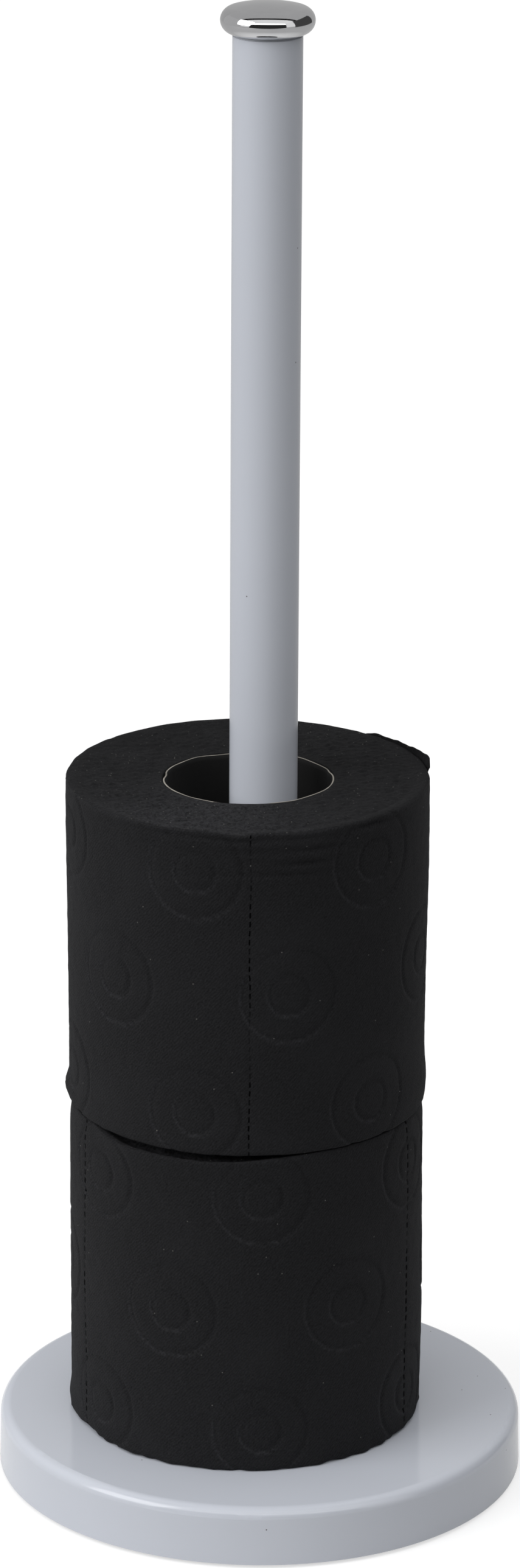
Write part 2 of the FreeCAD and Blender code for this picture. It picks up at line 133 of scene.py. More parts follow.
def gloss_enamel(name, roughness):
    """Stoved gloss enamel on steel: smooth, with a faint orange peel and a little settled dust."""
    material, tree, shader = new_material(name, Roughness=roughness, IOR=1.5)
    place = add_node(tree, "ShaderNodeTexCoord").outputs["Object"]
    cloud = add_node(tree, "ShaderNodeTexNoise", {
        "Vector": place, "Scale": per_metre(ENAMEL_CLOUD_MM), "Detail": 2.0})
    tint = add_node(tree, "ShaderNodeMix", {
        "Factor": cloud.outputs["Fac"],
        "A": linear(ENAMEL_TONES[0]), "B": linear(ENAMEL_TONES[1])}, data_type="RGBA")
    # Dust: a chosen cell holds one dark speck, and few of these lie at the surface, where they show
    cells = add_node(tree, "ShaderNodeTexVoronoi", {"Vector": place, "Scale": per_metre(DUST_CELL_MM)})
    near = add_node(tree, "ShaderNodeMath", {
        0: cells.outputs["Distance"], 1: DUST_REACH}, operation="LESS_THAN")
    shade = add_node(tree, "ShaderNodeSeparateColor", {"Color": cells.outputs["Color"]})
    chosen = add_node(tree, "ShaderNodeMath", {
        0: shade.outputs["Red"], 1: DUST_SHARE}, operation="LESS_THAN")
    speck = add_node(tree, "ShaderNodeMath", {
        0: near.outputs[0], 1: chosen.outputs[0]}, operation="MULTIPLY")
    dusty = add_node(tree, "ShaderNodeMix", {
        "Factor": speck.outputs[0], "A": tint.outputs["Result"], "B": linear(DUST_GREY)},
        data_type="RGBA")
    tree.links.new(dusty.outputs["Result"], shader.inputs["Base Color"])
    peel = add_node(tree, "ShaderNodeTexNoise", {
        "Vector": place, "Scale": per_metre(ORANGE_PEEL_MM), "Detail": 1.0})
    bump = add_node(tree, "ShaderNodeBump", {
        "Height": peel.outputs["Fac"], "Strength": 0.05, "Distance": 0.1 * MM})
    tree.links.new(bump.outputs["Normal"], shader.inputs["Normal"])
    return material


CHROME_TONES = ("#d2d2d3", "#c6c6c8")
WIPE_MARK_MM = 4
CASTING_WAVE_MM = 9


def polished_chrome():
    """Bright chrome plate on a zinc casting: a near mirror with very faint waviness and wipe marks."""
    material, tree, shader = new_material("polished_chrome", Metallic=1.0)
    place = add_node(tree, "ShaderNodeTexCoord").outputs["Object"]
    film = add_node(tree, "ShaderNodeTexNoise", {
        "Vector": place, "Scale": per_metre(WIPE_MARK_MM), "Detail": 4.0})
    tint = add_node(tree, "ShaderNodeMix", {
        "Factor": film.outputs["Fac"],
        "A": linear(CHROME_TONES[0]), "B": linear(CHROME_TONES[1])}, data_type="RGBA")
    tree.links.new(tint.outputs["Result"], shader.inputs["Base Color"])
    rough = add_node(tree, "ShaderNodeMapRange", {
        "Value": film.outputs["Fac"], "From Min": 0.35, "From Max": 0.7,
        "To Min": 0.035, "To Max": 0.07})
    tree.links.new(rough.outputs["Result"], shader.inputs["Roughness"])
    wave = add_node(tree, "ShaderNodeTexNoise", {
        "Vector": place, "Scale": per_metre(CASTING_WAVE_MM), "Detail": 1.0})
    bump = add_node(tree, "ShaderNodeBump", {
        "Height": wave.outputs["Fac"], "Strength": 0.08, "Distance": 0.2 * MM})
    tree.links.new(bump.outputs["Normal"], shader.inputs["Normal"])
    return material


def plain_finish(name, tones, roughness, grain_mm, relief, metallic=0.0):
    """A cast, moulded or plated surface: two close tones, mottled, with a fine grain in relief."""
    material, tree, shader = new_material(name, Roughness=roughness, Metallic=metallic)
    place = add_node(tree, "ShaderNodeTexCoord").outputs["Object"]
    grain = add_node(tree, "ShaderNodeTexNoise", {
        "Vector": place, "Scale": per_metre(grain_mm), "Detail": 4.0})
    tint = add_node(tree, "ShaderNodeMix", {
        "Factor": grain.outputs["Fac"], "A": linear(tones[0]), "B": linear(tones[1])},
        data_type="RGBA")
    tree.links.new(tint.outputs["Result"], shader.inputs["Base Color"])
    bump = add_node(tree, "ShaderNodeBump", {
        "Height": grain.outputs["Fac"], "Strength": relief, "Distance": 0.2 * MM})
    tree.links.new(bump.outputs["Normal"], shader.inputs["Normal"])
    return material


def lint(tree, place, dimensions, cell_mm, size, share):
    """Pale flecks of fluff: a share of the cells holds one fleck of this size, as part of a cell."""
    cells = add_node(tree, "ShaderNodeTexVoronoi", {
        "Vector": place, "Scale": per_metre(cell_mm)}, voronoi_dimensions=dimensions)
    near = add_node(tree, "ShaderNodeMapRange", {
        "Value": cells.outputs["Distance"], "From Min": size, "From Max": 0.4 * size})
    shade = add_node(tree, "ShaderNodeSeparateColor", {"Color": cells.outputs["Color"]})
    chosen = add_node(tree, "ShaderNodeMath", {
        0: shade.outputs["Green"], 1: share}, operation="LESS_THAN")
    return add_node(tree, "ShaderNodeMath", {
        0: near.outputs["Result"], 1: chosen.outputs[0]}, operation="MULTIPLY").outputs[0]


TISSUE_SHEEN = "#8c8c90"
TISSUE_TONES = ("#050506", "#252527")
TISSUE_WORN = "#272729"
# painted highlight: the side is made paler where light catches the rings' edges and the top rim
TISSUE_HIGHLIGHT = "#3e3e41"
SIDE_LINT = "#6c6b68"
# painted shade inside the perforation slits
PAINTED_SLIT_SHADE = "#010101"
CREPE_PITCH_MM = 0.75
CREPE_SLANT = math.radians(42)
SIDE_FLUFF_MM = 0.7
WORN_PATCH_MM = 28
SIDE_GLOSS = 0.18
PERFORATION_PITCH_MM = 2.6
CUT_PART = 0.62          # of the pitch, the rest holds the sheets together
LINE_WAVER_MM = 1
CLOSED_PATCH_MM = 9


def perforation_cuts(tree, flat, moved, patches, perforations, cut_width):
    """Where the sheet is cut: short cuts, one above the other, along the lines where it tears off."""
    along = add_node(tree, "ShaderNodeSeparateXYZ", {"Vector": flat})
    rung = add_node(tree, "ShaderNodeMath", {
        0: along.outputs["Y"], 1: PERFORATION_PITCH_MM * MM}, operation="MODULO")
    in_cut = add_node(tree, "ShaderNodeMath", {
        0: rung.outputs[0], 1: CUT_PART * PERFORATION_PITCH_MM * MM}, operation="LESS_THAN")
    waver = add_node(tree, "ShaderNodeMapRange", {
        "Value": patches, "To Min": -LINE_WAVER_MM * MM, "To Max": LINE_WAVER_MM * MM})
    here = add_node(tree, "ShaderNodeMath", {
        0: along.outputs["X"], 1: waver.outputs["Result"]}, operation="ADD")
    on_line = None
    for line in perforations:
        near = add_node(tree, "ShaderNodeMath", {
            0: here.outputs[0], 1: line, 2: cut_width}, operation="COMPARE")
        if on_line:
            near = add_node(tree, "ShaderNodeMath", {
                0: near.outputs[0], 1: on_line}, operation="MAXIMUM")
        on_line = near.outputs[0]
    cut = add_node(tree, "ShaderNodeMath", {0: on_line, 1: in_cut.outputs[0]}, operation="MULTIPLY")
    # Here and there a cut has closed again
    gape = add_node(tree, "ShaderNodeTexNoise", {
        "Vector": moved, "Scale": per_metre(CLOSED_PATCH_MM), "Detail": 1.0})
    open_part = add_node(tree, "ShaderNodeMapRange", {
        "Value": gape.outputs["Fac"], "From Min": 0.35, "From Max": 0.55,
        "To Min": 0.35, "To Max": 1.0})
    return add_node(tree, "ShaderNodeMath", {
        0: cut.outputs[0], 1: open_part.outputs["Result"]}, operation="MULTIPLY").outputs[0]


def creped_tissue(name, perforations, cut_width, seed):
    """Black creped tissue, dyed through: matt and fluffy, with fine slanting crepe lines.

    Its map is the sheet laid flat, in metres: along the sheet, and up it. perforations are the places
    along the sheet where it tears off, and cut_width is how far a cut gapes to each side of its line.
    """
    material, tree, shader = new_material(
        name, Roughness=0.92, Sheen_Weight=0.08, Sheen_Roughness=0.6, Sheen_Tint=linear(TISSUE_SHEEN))
    flat = add_node(tree, "ShaderNodeUVMap", uv_map="sheet").outputs["UV"]
    moved = add_node(tree, "ShaderNodeMapping", {
        "Vector": flat, "Location": (0.13 * seed, 0.07 * seed, 0)}).outputs[0]
    slant = add_node(tree, "ShaderNodeMapping", {"Vector": moved, "Rotation": (0, 0, CREPE_SLANT)})
    crepe = add_node(tree, "ShaderNodeTexWave", {
        "Vector": slant.outputs[0], "Scale": waves_per_metre(CREPE_PITCH_MM), "Distortion": 9.0,
        "Detail": 4.0, "Detail Scale": 1.6, "Detail Roughness": 0.7})
    fluff = add_node(tree, "ShaderNodeTexNoise", {
        "Vector": moved, "Scale": per_metre(SIDE_FLUFF_MM), "Detail": 5.0, "Roughness": 0.7})
    cloud = add_node(tree, "ShaderNodeTexNoise", {
        "Vector": moved, "Scale": per_metre(WORN_PATCH_MM), "Detail": 3.0})

    # The tone: crepe and fluff, then what is worn, a painted highlight, lint and the painted shade in the
    # cuts
    grain = add_node(tree, "ShaderNodeMapRange", {
        "Value": fluff.outputs["Fac"], "From Min": 0.32, "From Max": 0.7, "To Min": 0.0, "To Max": 0.7})
    tone = add_node(tree, "ShaderNodeMath", {
        0: crepe.outputs["Fac"], 1: 0.4, 2: grain.outputs["Result"]}, operation="MULTIPLY_ADD")
    tint = add_node(tree, "ShaderNodeMix", {
        "Factor": tone.outputs[0], "A": linear(TISSUE_TONES[0]), "B": linear(TISSUE_TONES[1])},
        data_type="RGBA")
    wear = add_node(tree, "ShaderNodeMapRange", {
        "Value": cloud.outputs["Fac"], "From Min": 0.45, "From Max": 0.75,
        "To Min": 0.0, "To Max": 0.38})
    worn = add_node(tree, "ShaderNodeMix", {
        "Factor": wear.outputs["Result"], "A": tint.outputs["Result"], "B": linear(TISSUE_WORN)},
        data_type="RGBA")
    # Painted highlight, marked on the mesh: the rings' lower left edges and a band along the top rim are
    # made paler
    painted_highlight = add_node(tree, "ShaderNodeAttribute", attribute_name="painted_highlight")
    highlight_share = add_node(tree, "ShaderNodeMath", {
        0: painted_highlight.outputs["Fac"], 1: grain.outputs["Result"]}, operation="MULTIPLY")
    highlit = add_node(tree, "ShaderNodeMix", {
        "Factor": highlight_share.outputs[0], "A": worn.outputs["Result"], "B": linear(TISSUE_HIGHLIGHT)},
        data_type="RGBA")
    flecks = lint(tree, moved, "2D", cell_mm=5.0, size=0.045, share=0.07)
    flecked = add_node(tree, "ShaderNodeMix", {
        "Factor": flecks, "A": highlit.outputs["Result"], "B": linear(SIDE_LINT)}, data_type="RGBA")
    cut = perforation_cuts(tree, flat, moved, cloud.outputs["Fac"], perforations, cut_width)
    # Painted shade: the cuts are painted near black, as the shade inside the slits
    torn = add_node(tree, "ShaderNodeMix", {
        "Factor": cut, "A": flecked.outputs["Result"], "B": linear(PAINTED_SLIT_SHADE)}, data_type="RGBA")
    tree.links.new(torn.outputs["Result"], shader.inputs["Base Color"])
    # The cuts lose their shine as well, so their painted shade stays dark
    gloss = add_node(tree, "ShaderNodeMapRange", {"Value": cut, "To Min": SIDE_GLOSS, "To Max": 0.0})
    tree.links.new(gloss.outputs["Result"], shader.inputs["Specular IOR Level"])

    lines = add_node(tree, "ShaderNodeBump", {
        "Height": crepe.outputs["Fac"], "Strength": 0.5, "Distance": 0.16 * MM})
    soft = add_node(tree, "ShaderNodeBump", {
        "Height": fluff.outputs["Fac"], "Strength": 1.0, "Distance": 0.4 * MM,
        "Normal": lines.outputs["Normal"]})
    tree.links.new(soft.outputs["Normal"], shader.inputs["Normal"])
    return material


END_TONES = ("#070708", "#2b2b2d")
# painted highlight on the top's front left, where the light falls
END_HIGHLIGHT = "#3f3f42"
END_LINT = "#7d7c78"
WINDING_MM = 1.1         # coarser than real windings, which are too fine to show
END_FLUFF_MM = 0.8
END_PATCH_MM = 14


def tissue_ends(name, middle):
    """The cut ends of the wound tissue: many soft edges side by side, matt, fluffier than the side."""
    material, tree, shader = new_material(
        name, Roughness=0.95, Sheen_Weight=0.1, Sheen_Roughness=0.6, Sheen_Tint=linear(TISSUE_SHEEN),
        Specular_IOR_Level=0.15)
    place = add_node(tree, "ShaderNodeTexCoord").outputs["Object"]
    centred = add_node(tree, "ShaderNodeMapping", {
        "Vector": place, "Location": (-middle.x, -middle.y, 0)})
    turns = add_node(tree, "ShaderNodeTexWave", {
        "Vector": centred.outputs[0], "Scale": waves_per_metre(WINDING_MM), "Distortion": 3.0,
        "Detail": 2.0, "Detail Scale": 0.6}, wave_type="RINGS", rings_direction="Z")
    fluff = add_node(tree, "ShaderNodeTexNoise", {
        "Vector": place, "Scale": per_metre(END_FLUFF_MM), "Detail": 6.0, "Roughness": 0.75})
    patch = add_node(tree, "ShaderNodeTexNoise", {
        "Vector": place, "Scale": per_metre(END_PATCH_MM), "Detail": 3.0})
    grain = add_node(tree, "ShaderNodeMapRange", {
        "Value": fluff.outputs["Fac"], "From Min": 0.36, "From Max": 0.68})
    tone = add_node(tree, "ShaderNodeMath", {
        0: grain.outputs["Result"], 1: patch.outputs["Fac"]}, operation="MULTIPLY")
    tint = add_node(tree, "ShaderNodeMix", {
        "Factor": tone.outputs[0], "A": linear(END_TONES[0]), "B": linear(END_TONES[1])},
        data_type="RGBA")
    # Painted highlight, marked on the mesh: the top is paler at the front left, where the light falls
    painted_highlight = add_node(tree, "ShaderNodeAttribute", attribute_name="painted_highlight")
    highlight_share = add_node(tree, "ShaderNodeMath", {
        0: painted_highlight.outputs["Fac"], 1: grain.outputs["Result"]}, operation="MULTIPLY")
    highlit = add_node(tree, "ShaderNodeMix", {
        "Factor": highlight_share.outputs[0], "A": tint.outputs["Result"], "B": linear(END_HIGHLIGHT)},
        data_type="RGBA")
    flecks = lint(tree, place, "3D", cell_mm=1.7, size=0.11, share=0.8)
    flecked = add_node(tree, "ShaderNodeMix", {
        "Factor": flecks, "A": highlit.outputs["Result"], "B": linear(END_LINT)}, data_type="RGBA")
    tree.links.new(flecked.outputs["Result"], shader.inputs["Base Color"])
    edges = add_node(tree, "ShaderNodeBump", {
        "Height": turns.outputs["Fac"], "Strength": 0.12, "Distance": 0.2 * MM})
    soft = add_node(tree, "ShaderNodeBump", {
        "Height": fluff.outputs["Fac"], "Strength": 1.0, "Distance": 1.2 * MM,
        "Normal": edges.outputs["Normal"]})
    tree.links.new(soft.outputs["Normal"], shader.inputs["Normal"])
    return material


# ---- Modelling ----

def select_only(piece):
    """Selects one piece and makes it the active one."""
    bpy.ops.object.select_all(action="DESELECT")
    piece.select_set(True)
    bpy.context.view_layer.objects.active = piece


def start_piece(name, add_primitive, **settings):
    """Adds a primitive with nothing else selected, names it and opens it in edit mode."""
    bpy.ops.object.select_all(action="DESELECT")
    add_primitive(**settings)
    piece = bpy.context.object
    piece.name = name
    piece.data.name = name
    bpy.ops.object.transform_apply(location=True, rotation=True, scale=True)
    bpy.ops.object.mode_set(mode="EDIT")
    return piece


def pick_edges(piece, choose):
    """Selects the edges that choose() picks by their middle."""
    bpy.ops.mesh.select_mode(type="EDGE")
    bpy.ops.mesh.select_all(action="DESELECT")
    mesh = bmesh.from_edit_mesh(piece.data)
    for edge in mesh.edges:
        edge.select_set(choose((edge.verts[0].co + edge.verts[1].co) / 2))
    bmesh.update_edit_mesh(piece.data)


def thick_ring(name, middle, inner, outer, foot, top, cuts, around):
    """A tube with a thick wall: its outer wall, both ends drawn in ring by ring, then the bore.

    cuts are the divisions of the outer wall, of the top, of the foot and of the bore.
    """
    wall_cuts, top_cuts, foot_cuts, bore_cuts = cuts
    centre = Vector((middle.x, middle.y, (foot + top) / 2))
    piece = start_piece(name, bpy.ops.mesh.primitive_cylinder_add, vertices=around, radius=outer,
                        depth=top - foot, end_fill_type="NOTHING", location=centre)
    for level, count in ((top, top_cuts), (foot, foot_cuts)):
        pick_edges(piece, lambda at: abs(at.z - level) < TINY)
        steps = np.linspace(outer, inner, count + 2)
        for far, near in zip(steps, steps[1:]):
            bpy.ops.mesh.extrude_region()
            bpy.ops.transform.resize(value=(near / far, near / far, 1),
                                     center_override=(middle.x, middle.y, level))
    pick_edges(piece, lambda at: (at - centre).xy.length < inner + TINY)
    bpy.ops.mesh.bridge_edge_loops()
    between = (inner + outer) / 2
    pick_edges(piece, lambda at: abs(at.z - centre.z) < TINY and (at - centre).xy.length > between)
    bpy.ops.mesh.subdivide(number_cuts=wall_cuts)
    pick_edges(piece, lambda at: abs(at.z - centre.z) < TINY and (at - centre).xy.length < between)
    bpy.ops.mesh.subdivide(number_cuts=bore_cuts)
    bpy.ops.mesh.select_all(action="SELECT")
    bpy.ops.mesh.normals_make_consistent(inside=False)
    bpy.ops.object.mode_set(mode="OBJECT")
    bpy.ops.object.shade_smooth()
    return piece


def points_of(piece):
    """The places of a piece's points, one row each."""
    flat = np.empty(len(piece.data.vertices) * 3, np.float32)
    piece.data.vertices.foreach_get("co", flat)
    return flat.reshape(-1, 3).astype(float)


def put_points(piece, points):
    """Moves a piece's points to these places."""
    piece.data.vertices.foreach_set("co", points.astype(np.float32).ravel())
    piece.data.update()


RIPPLE_WAVES = 28
WAVE_OF_BUMP = 1.6       # a wave's length, for bumps of length 1
RIPPLE_PEAK = 1.6        # what the waves add up to at a usual peak


def ripple(points, size, seed):
    """Smooth even noise between about -1 and 1 whose bumps are about this large."""
    draw = np.random.RandomState(seed)
    total = np.zeros(len(points))
    for _ in range(RIPPLE_WAVES):
        direction = draw.normal(size=3)
        length = WAVE_OF_BUMP * size * draw.uniform(0.7, 1.5)
        direction *= 2 * math.pi / (length * np.linalg.norm(direction))
        total += np.sin(points @ direction + draw.uniform(0, 2 * math.pi))
    return total / math.sqrt(RIPPLE_WAVES / 2) / RIPPLE_PEAK


def uneven(points, height_mm, size_mm, seed):
    """Unevenness of this height whose bumps are about this large."""
    return height_mm * MM * ripple(points, size_mm * MM, seed)


def hump(value, middle, width):
    """A smooth hump, 1 high at the middle, that fades out over this width."""
    return np.exp(-((value - middle) / width) ** 2)


def fade_in(value, start, length):
    """Rises from 0 at the start to 1 after this length."""
    return np.clip((value - start) / length, 0, 1)


def turn_gap(angle, to):
    """The signed angle from one direction to another, between -pi and pi."""
    return (angle - to + math.pi) % (2 * math.pi) - math.pi


# ---- The rolls ----

# The sheet's emboss: two plain rings, one inside the other, in a brick pattern
RING_SIZES_MM = (13.2, 5.6)
RING_LINE_MM = 0.6
RING_DEPTH = 0.42 * MM
RINGS_AROUND = 6
RING_ROWS_MM = (12.0, 47.5, 83.0)
HIGHLIGHT_OUTSIDE_MM = 0.8  # the painted highlight lies this far outside a ring's line
HIGHLIGHT_LINE_MM = 0.36


def emboss(along, up, girth, shift):
    """Depth of the embossed rings on the sheet laid flat, and where their lower left edges get a painted
    highlight.
    """
    depth = np.zeros(len(along))
    painted_highlight = np.zeros(len(along))
    pitch = girth / RINGS_AROUND
    for row, height in enumerate(RING_ROWS_MM):
        brick = shift + (row % 2) * pitch / 2
        across = (along - brick + pitch / 2) % pitch - pitch / 2
        distance = np.hypot(across, up - height * MM)
        for size in RING_SIZES_MM:
            depth += hump(distance, size * MM, RING_LINE_MM * MM)
            # Painted highlight on the lower left of each ring's line, the side the light comes from
            lower_left = np.clip(0.45 - (across + up - height * MM) / (2 * size * MM), 0, 1)
            painted_highlight += lower_left * hump(distance, (size + HIGHLIGHT_OUTSIDE_MM) * MM, HIGHLIGHT_LINE_MM * MM)
    return depth * RING_DEPTH, painted_highlight


# The wound paper's mesh: points around it, and divisions of its side, its top, its foot and its bore
AROUND = 520
ROLL_CUTS = (116, 40, 8, 3)

# Its form
EDGE = 1.0 * MM          # radius of the soft rims
DISH = 1.0 * MM          # how far the top sinks towards the core
END_PLAY = 0.06 * MM     # left free at each end
BORE_PLAY = 0.1 * MM     # between the card and the paper
FURROW_DEEP = 0.1 * MM   # along a perforated line
FURROW_WIDE = 0.9 * MM
FLUFF_AND_HIGHLIGHT_FROM_FRONT = -0.35   # the top is fluffed up most at the front left, and gets a painted highlight there
FLUFF_AND_HIGHLIGHT_WIDE = 0.75

# The core is squeezed a little: wider across than deep. The paper follows it, out to where that ends.
CORE_ACROSS = 1.004
CORE_DEEP = 0.955
SQUEEZE_END = 45 * MM
SQUEEZE_FADE = 21 * MM


def wind_paper(name):
    """A plain wound roll in the place of its solid, with its points' places round its own axis."""
    low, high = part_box(name + "_paper")
    core_low, core_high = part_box(name + "_core")
    middle = (core_low + core_high) / 2
    radius = min(high.x - low.x, high.y - low.y) / 2
    bore = (core_high.x - core_low.x) / 2 + BORE_PLAY
    foot, top = low.z + END_PLAY, high.z - END_PLAY
    piece = thick_ring(name + "_tissue", middle, bore, radius, foot, top, ROLL_CUTS, AROUND)
    points = points_of(piece)
    x, y, _ = (points - np.array(middle)).T
    roll = SimpleNamespace(
        piece=piece, middle=middle, radius=radius, bore=bore, foot=foot, tall=top - foot,
        angle=np.arctan2(y, x), reach=np.hypot(x, y), z=points[:, 2] - foot)
    roll.wall = roll.reach > radius - TINY
    roll.upper_end = (roll.z > roll.tall - TINY) & ~roll.wall
    round_rims(roll)
    roll.around = np.column_stack([
        np.cos(roll.angle) * roll.reach, np.sin(roll.angle) * roll.reach, roll.z])
    roll.inside = (roll.reach - bore) / (radius - bore)      # 0 at the bore, 1 at the side
    return roll


def round_rims(roll):
    """Rounds both rims: what lies in the square of a corner goes onto the corner's arc."""
    for level, side in ((EDGE, -1), (roll.tall - EDGE, 1)):
        outward = roll.reach - (roll.radius - EDGE)
        beyond = side * (roll.z - level)
        corner = (outward > 0) & (beyond > 0)
        grow = np.where(corner, EDGE / np.maximum(np.hypot(outward, beyond), 1e-9), 1.0)
        roll.reach = np.where(corner, roll.radius - EDGE + outward * grow, roll.reach)
        roll.z = np.where(corner, level + side * beyond * grow, roll.z)


def shape_side(roll, seed, emboss_shift, perforations):
    """How far the side stands out, wound unevenly, embossed and perforated, and where it gets a painted
    highlight.
    """
    girth = 2 * math.pi * roll.radius
    depth, painted_highlight = emboss(roll.angle * roll.radius, roll.z, girth, emboss_shift)
    swell = uneven(roll.around, 0.35, 38, seed) - depth
    for line in perforations:
        off_line = turn_gap(roll.angle, line / roll.radius) * roll.radius
        swell -= FURROW_DEEP * hump(off_line, 0, FURROW_WIDE)
    swell += uneven(roll.around, 0.05, 2.5, seed + 1)
    return np.where(roll.wall, swell, 0.0), painted_highlight


def shape_ends(roll, fluff_and_highlight, fray_depth, seed):
    """How far the ends' points move out and up: a fluffy dished top, a worn rim, a frayed foot."""
    around, inside = roll.around, roll.inside
    fuzz = uneven(around, 0.12, 4, seed + 2) + uneven(around, 0.2, 1.3, seed + 3)
    fuzz *= 1 + 0.8 * fluff_and_highlight
    broad = uneven(around, 0.2, 26, seed + 4)
    off_bore = np.clip(8 * inside, 0, 1)
    off_rim = np.clip(4 * (1 - inside), 0, 1)
    sunk = (0.3 * MM + fuzz * off_bore + broad) * off_rim
    sunk += DISH * np.clip(1 - inside, 0, 1) ** 1.4
    lift = -np.where(roll.upper_end, sunk, 0.0)
    brim = hump(roll.z, roll.tall, 2.0 * MM) * fade_in(inside, 0.85, 0.15)
    lift -= brim * np.abs(uneven(around, 0.12, 7, seed + 7))
    swell = brim * uneven(around, 0.12, 5, seed + 8)
    ragged = np.clip(0.3 + 0.5 * ripple(around, 3.0 * MM, seed + 5)
                     + 0.5 * ripple(around, 9 * MM, seed + 6), 0, 2)
    fray = hump(roll.z, 0, 1.5 * MM) * fade_in(inside, 0.8, 0.2)
    lift += ragged * fray_depth * fray
    swell += fray * 0.8 * fray_depth * ripple(around, 3.5 * MM, seed + 9)
    return swell, lift


def paper_roll(name, form, seed, emboss_shift, perforations, cut_width, fray_depth):
    """Wound tissue on its core: softened rims, embossed side, fluffy uneven ends.

    form gives what handling did to this roll.
    """
    roll = wind_paper(name)
    piece = roll.piece
    sheet = np.column_stack([roll.angle * roll.radius, roll.z])
    # Where the top is fluffed up more, and also made paler as a painted highlight
    fluff_and_highlight = hump(turn_gap(roll.angle, FRONT + FLUFF_AND_HIGHLIGHT_FROM_FRONT), 0, FLUFF_AND_HIGHLIGHT_WIDE)
    side_swell, painted_highlight = shape_side(roll, seed, emboss_shift, perforations)
    end_swell, end_lift = shape_ends(roll, fluff_and_highlight, fray_depth, seed)
    form_swell, form_lift = form(roll)
    reach = roll.reach + (side_swell + end_swell) + form_swell
    z = roll.z + end_lift + form_lift

    near_core = np.clip((SQUEEZE_END - reach) / SQUEEZE_FADE, 0, 1)
    across = reach * (1 + (CORE_ACROSS - 1) * near_core)
    deep = reach * (1 + (CORE_DEEP - 1) * near_core)
    put_points(piece, np.column_stack([
        roll.middle.x + np.cos(roll.angle) * across,
        roll.middle.y + np.sin(roll.angle) * deep,
        roll.foot + np.clip(z, 0, roll.tall)]))
    lay_map(piece, sheet)
    # Painted highlight, kept on the mesh: on the side the rings' lower left edges and a paler band along
    # the top rim, on the top its front left
    rim_highlight = 0.2 * hump(z, roll.tall, 1.2 * MM)
    mark = piece.data.attributes.new("painted_highlight", "FLOAT", "POINT")
    mark.data.foreach_set(
        "value", np.where(roll.wall, painted_highlight + rim_highlight, roll.upper_end * fluff_and_highlight))

    piece.data.materials.append(creped_tissue(name + "_creped_tissue", perforations, cut_width, seed))
    piece.data.materials.append(tissue_ends(name + "_tissue_ends", roll.middle))
    on_wall = [all(roll.wall[v] for v in face.vertices) for face in piece.data.polygons]
    piece.data.polygons.foreach_set("material_index", [0 if flag else 1 for flag in on_wall])
    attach(piece, name)
    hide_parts(name + "_paper")


def lay_map(piece, sheet):
    """Maps the wall as the sheet laid flat, in metres, with no jump inside a face."""
    layer = piece.data.uv_layers.new(name="sheet")
    corners = np.empty(len(piece.data.loops), np.int32)
    piece.data.loops.foreach_get("vertex_index", corners)
    flat = sheet[corners].copy()
    girth = sheet[:, 0].max() - sheet[:, 0].min()
    quads = flat.reshape(-1, 4, 2)
    along = quads[:, :, 0]
    spread = along.max(axis=1) - along.min(axis=1) > girth / 2
    quads[spread, :, 0] = np.where(along[spread] < 0, along[spread] + girth, along[spread])
    layer.data.foreach_set("uv", flat.astype(np.float32).ravel())


def bulge(roll, size_mm, place, width, height_mm, spread_mm):
    """A swelling of this size, at a place round the roll and a height above its foot."""
    return (size_mm * MM * hump(turn_gap(roll.angle, place), 0, width)
            * hump(roll.z, height_mm * MM, spread_mm * MM))


# Creases under the upper roll's front rim: how far below the rim and how deep, in mm, then the place
# and width round the roll, in radians from the front
CREASES = (
    (1.9, 0.6, -0.15, 0.75),
    (1.7, 0.9, 0.74, 0.13),
    (3.0, 0.6, -0.02, 0.16),
    (5.2, 0.7, 0.02, 0.12),
    (6.0, 0.8, 0.34, 0.17),
    (9.5, 0.7, 0.33, 0.15),
    (12.5, 0.5, 0.12, 0.4),
)
CREASE_ARCH = 3.0 * MM

# Dents in that rim: depth in mm, place and width round the roll
RIM_DENTS = ((0.9, -0.06, 0.1), (0.5, 0.3, 0.16), (0.4, -0.5, 0.08))


def upper_roll_form(roll):
    """What handling did to the upper roll: creases, bulges low on its sides, a pressed front rim."""
    front = turn_gap(roll.angle, FRONT)
    swell = np.zeros(len(roll.z))
    for below, deep, place, width in CREASES:
        level = roll.tall - below * MM - CREASE_ARCH * (1 - np.cos(front - place))
        fold = hump(roll.z, level, 0.6 * MM) - 0.6 * hump(roll.z, level - 1.5 * MM, 0.9 * MM)
        swell -= deep * MM * fold * hump(front, place, width)
    swell += bulge(roll, 1.2, LEFT + 0.05, 0.22, 3.4, 2.4)
    swell += bulge(roll, 0.6, RIGHT, 0.5, 6, 6)
    swell += 0.4 * MM * (roll.z / roll.tall - 0.5)           # wider at the top than at the foot
    furrow = hump(roll.reach, roll.radius - 4.2 * MM, 1.3 * MM) * np.clip(np.cos(front) + 0.35, 0, 1)
    lift = -np.where(roll.upper_end, 0.45 * MM * furrow, 0)
    rim = hump(roll.z, roll.tall, 3 * MM) * fade_in(roll.reach, 0.8 * roll.radius, 0.2 * roll.radius)
    lift -= rim * MM * sum(deep * hump(front, place, width) for deep, place, width in RIM_DENTS)
    return np.where(roll.wall, swell, 0), lift


RIM_SAG = 1.45 * MM
BEHIND_RIM = 2.4 * MM    # how much further the windings behind the rim are pushed down
SAG_LEFT = -1.06         # the sag's ends, in radians from the front, and how softly it ends there
SAG_LEFT_SOFT = 0.35
SAG_RIGHT = 0.46
SAG_RIGHT_SOFT = 0.75


